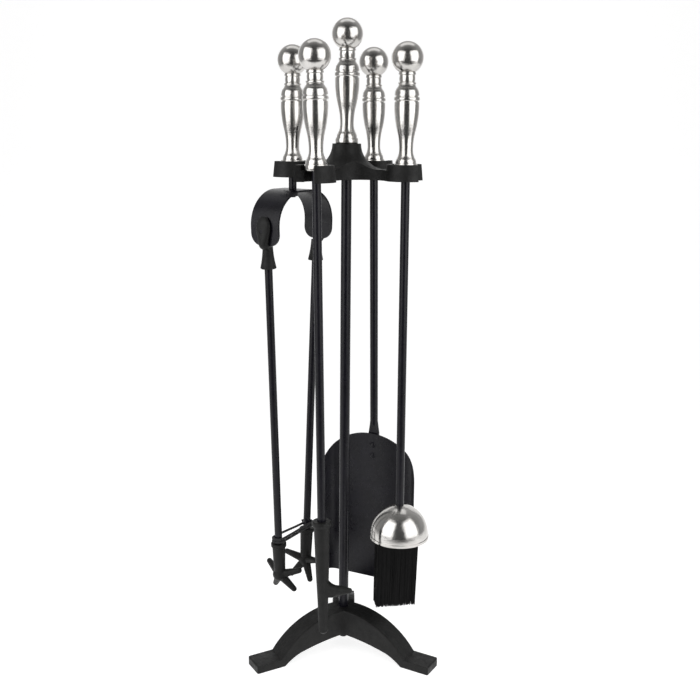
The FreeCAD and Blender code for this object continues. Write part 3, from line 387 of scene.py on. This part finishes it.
def mesh_from(name, vertices, faces):
    """A mesh of these points and faces."""
    mesh = bpy.data.meshes.new(name)
    mesh.from_pydata(vertices, [], faces)
    mesh.update()
    return mesh


BUNDLE_LENGTH = 0.0435
BUNDLE_WIDTH = 0.018
BUNDLE_TURN = math.radians(10)
BUNDLE_OFFSET = 0.0025      # from the rod, along the bundle's long side
BUNDLE_SLANT = 0.0015       # further at its foot
BUNDLE_TAPER = 0.97
BUNDLE_FLARE = 0.06         # of its width, at its foot
BUNDLE_MARGIN = 0.001       # strands stay this far inside the bundle's length and width
STRAND_COLUMNS = 50
STRAND_ROWS = 21
STRAND_STEPS = 4
STRAND_SEAT = 0.002         # a strand's root is this far up in the block
STRAND_BOW = 0.0003         # sideways at mid length, as a standard deviation
STRAND_SPREAD = (0.0003, 0.0004)      # the same at the foot, along and across the bundle
STRAND_CUT = 0.0004         # uneven cut from strand to strand
STRAND_CUT_WAVE = 0.0002    # and in a slow wave over the bundle
STRAND_RADIUS = (0.00038, 0.00048)
STRAND_TIP = 0.85           # of its radius


def make_bristles():
    """Separate slightly bent bristles with an uneven cut, set in the brush's block."""
    dice = random.Random(7)
    middle = centre("brush_block")
    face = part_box("brush_block")[0][2]
    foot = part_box("brush_bristles")[0][2]
    turn = Matrix.Rotation(BUNDLE_TURN, 4, "Z")
    vertices, faces = [], []
    for column in range(STRAND_COLUMNS):
        for row in range(STRAND_ROWS):
            outer = column in (0, STRAND_COLUMNS - 1) or row in (0, STRAND_ROWS - 1)
            jitter = 0.15 if outer else 0.45
            across = (column + 0.5 + dice.uniform(-jitter, jitter)) / STRAND_COLUMNS - 0.5
            deep = (row + 0.5 + dice.uniform(-jitter, jitter)) / STRAND_ROWS - 0.5
            bow_x, bow_y = dice.gauss(0, STRAND_BOW), dice.gauss(0, STRAND_BOW)
            spread_x, spread_y = dice.gauss(0, STRAND_SPREAD[0]), dice.gauss(0, STRAND_SPREAD[1])
            wave = STRAND_CUT_WAVE * (1 + math.sin(9 * across + 4 * deep))
            end = foot + dice.uniform(0.0, STRAND_CUT) + wave
            points = []
            for step in range(STRAND_STEPS + 1):
                part = step / STRAND_STEPS
                narrow = 1 + (BUNDLE_TAPER - 1) * part
                bulge = math.sin(math.pi * part)
                x = across * (BUNDLE_LENGTH - BUNDLE_MARGIN) * narrow - BUNDLE_OFFSET - BUNDLE_SLANT * part
                y = deep * (BUNDLE_WIDTH - BUNDLE_MARGIN) * (narrow + BUNDLE_FLARE * part)
                here = turn @ Vector((x + spread_x * part ** 2 + bow_x * bulge,
                                      y + spread_y * part ** 2 + bow_y * bulge, 0))
                height = face + STRAND_SEAT + (end - face - STRAND_SEAT) * part
                points.append(Vector((middle.x + here.x, middle.y + here.y, height)))
            tube(points, dice.uniform(*STRAND_RADIUS), 4, vertices, faces, ends=(1.0, STRAND_TIP))
    mesh = mesh_from("bristles", vertices, faces)
    piece = add_piece("bristles", mesh, "bristle")
    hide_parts("brush_bristles")
    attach(piece, "brush")


def tongs_span():
    """Across the tongs, from the far arm to the near arm."""
    span = centre("tongs_socket_near") - centre("tongs_socket_far")
    span.z = 0
    return span.normalized()


SHARP_EDGE = math.radians(28)


def half_mesh(mesh, name, middle, outward, cuts=()):
    """The part of a mesh on one side of the middle, with more edges at the cuts."""
    data = bmesh.new()
    data.from_mesh(mesh)
    for point, normal in cuts:
        bmesh.ops.bisect_plane(data, geom=data.verts[:] + data.edges[:] + data.faces[:],
                               plane_co=point, plane_no=normal)
    bmesh.ops.bisect_plane(data, geom=data.verts[:] + data.edges[:] + data.faces[:],
                           plane_co=middle, plane_no=outward, clear_inner=True)
    half = bpy.data.meshes.new(name)
    data.to_mesh(half)
    data.free()
    half.shade_smooth()
    half.set_sharp_from_angle(angle=SHARP_EDGE)
    return half


def heights(low, high, step):
    """Even heights from low to high, about a step apart."""
    count = int((high - low) / step)
    return [low + (high - low) * number / count for number in range(count + 1)]


BOW_CUT_ACROSS = 0.003    # between the added edges across the strip
BOW_CUTS_PER_SIDE = 16
BOW_CUT_UP = 0.004


def make_bow():
    """The sprung bow in two halves, split at its crown, one on each arm's side."""
    low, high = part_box("tongs_bow")
    middle = centre("tongs_nut")
    span = tongs_span()
    upward = Vector((0, 0, 1))
    cuts = [(middle + span * (step * BOW_CUT_ACROSS), span)
            for step in range(-BOW_CUTS_PER_SIDE, BOW_CUTS_PER_SIDE + 1)]
    cuts += [(upward * height, upward)
             for height in heights(low[2] + BOW_CUT_UP, high[2] - BOW_CUT_UP, BOW_CUT_UP)]
    for side, sign in (("near", 1), ("far", -1)):
        mesh = half_mesh(nodes["tongs_bow"].data, f"bow_{side}", middle, span * sign, cuts)
        piece = add_piece(f"bow_{side}", mesh, "black_metal")
        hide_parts("tongs_bow")
        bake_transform(piece)


TIE_REACH = 0.0249        # from the middle to each arm
TIE_BEND = 0.0057         # from an arm's axis to the cord's
TIE_RADIUS = 0.0014
TIE_CLIMB = 0.00155       # per half turn
TIE_HALF_TURNS = 4
TIE_ARC_STEPS = 12
TIE_RUN_STEPS = 24
TIE_STEP = 0.0005         # between the points that the plies follow
TIE_KNOT = 0.0019
KNOT_STEPS = 36
PLIES = 3
PLY_LAY = 0.0052          # length of one turn of the twist
PLY_OFFSET = 0.52         # from the cord's middle, as a share of its radius
PLY_RADIUS = 0.48         # the same share
PLY_END = 0.8             # of a ply's radius


def tie_route(middle, span):
    """Points along the winding round both arms, from its lower knot to its upper one."""
    upward = Vector((0, 0, 1))
    sideways = upward.cross(span)
    points = []
    height = -TIE_CLIMB * (TIE_HALF_TURNS - 1) / 2
    for number in range(TIE_HALF_TURNS):
        side = 1 if number % 2 == 0 else -1
        arm = middle + span * (side * TIE_REACH) + upward * height
        for step in range(TIE_ARC_STEPS + 1):
            angle = -math.pi / 2 + math.pi * step / TIE_ARC_STEPS
            points.append(arm + (span * math.cos(angle) + sideways * math.sin(angle)) * (side * TIE_BEND))
        if number < TIE_HALF_TURNS - 1:
            start = points[-1]
            for step in range(1, TIE_RUN_STEPS):
                part = step / TIE_RUN_STEPS
                climb = TIE_CLIMB * (1 - math.cos(math.pi * part)) / 2
                points.append(start - span * (side * 2 * TIE_REACH * part) + upward * climb)
        height += TIE_CLIMB
    return points


def evenly(points, step):
    """The same route with its points a step apart."""
    spaced, left = [points[0]], step
    for start, end in zip(points, points[1:]):
        length = (end - start).length
        along = left
        while along <= length:
            spaced.append(start.lerp(end, along / length))
            along += step
        left = along - length
    return spaced


def plies(route, vertices, faces):
    """Twist the plies of a cord round its route."""
    step = (route[1] - route[0]).length
    across = Vector((0, 0, 1))
    rings = []
    for number, point in enumerate(route):
        ahead = (route[min(number + 1, len(route) - 1)] - route[max(number - 1, 0)]).normalized()
        across = (across - ahead * across.dot(ahead)).normalized()
        rings.append((point, across, ahead.cross(across)))
    offset = TIE_RADIUS * PLY_OFFSET
    for ply in range(PLIES):
        points = []
        for number, (point, out, up) in enumerate(rings):
            angle = 2 * math.pi * (ply / PLIES + number * step / PLY_LAY)
            points.append(point + (out * math.cos(angle) + up * math.sin(angle)) * offset)
        tube(points, TIE_RADIUS * PLY_RADIUS, 7, vertices, faces, ends=(PLY_END, PLY_END))


def knot(middle, vertices, faces):
    """A small tight overhand knot."""
    points = []
    for step in range(KNOT_STEPS + 1):
        angle = 2 * math.pi * step / KNOT_STEPS
        points.append(middle + Vector((math.sin(angle) + 2 * math.sin(2 * angle),
                                       math.cos(angle) - 2 * math.cos(2 * angle),
                                       -1.6 * math.sin(3 * angle))) * (TIE_KNOT * 0.2))
    tube(points, TIE_KNOT * 0.42, 8, vertices, faces)


def make_tie():
    """A twisted cord wound round both arms, in two halves, one on each arm's side."""
    middle = centre("tongs_tie")
    span = tongs_span()
    vertices, faces = [], []
    route = evenly(tie_route(middle, span), TIE_STEP)
    plies(route, vertices, faces)
    for end, towards in ((route[0], route[1]), (route[-1], route[-2])):
        knot(end + (end - towards).normalized() * (TIE_KNOT * 0.3), vertices, faces)
    whole = mesh_from("tie", vertices, faces)
    for side, sign in (("near", 1), ("far", -1)):
        mesh = half_mesh(whole, f"tie_{side}", middle, span * sign)
        piece = add_piece(f"tie_{side}", mesh, "cord")
        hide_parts("tongs_tie")
        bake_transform(piece)


def finish_cad_nodes():
    """Give each node of the model the material of its slot."""
    for entry in frame["record"]["subparts"]:
        node = nodes[entry["node"]]
        node.data.materials.clear()
        node.data.materials.append(finishes[entry["material_slot"]])


makers = (cast_black, black_metal, nickel, zinc, block, bristle, cord)
finishes = {make.__name__: make() for make in makers}

make_camera()
make_world()
make_backdrop()
make_lights()
finish_cad_nodes()
make_bristles()
make_bow()
make_tie()
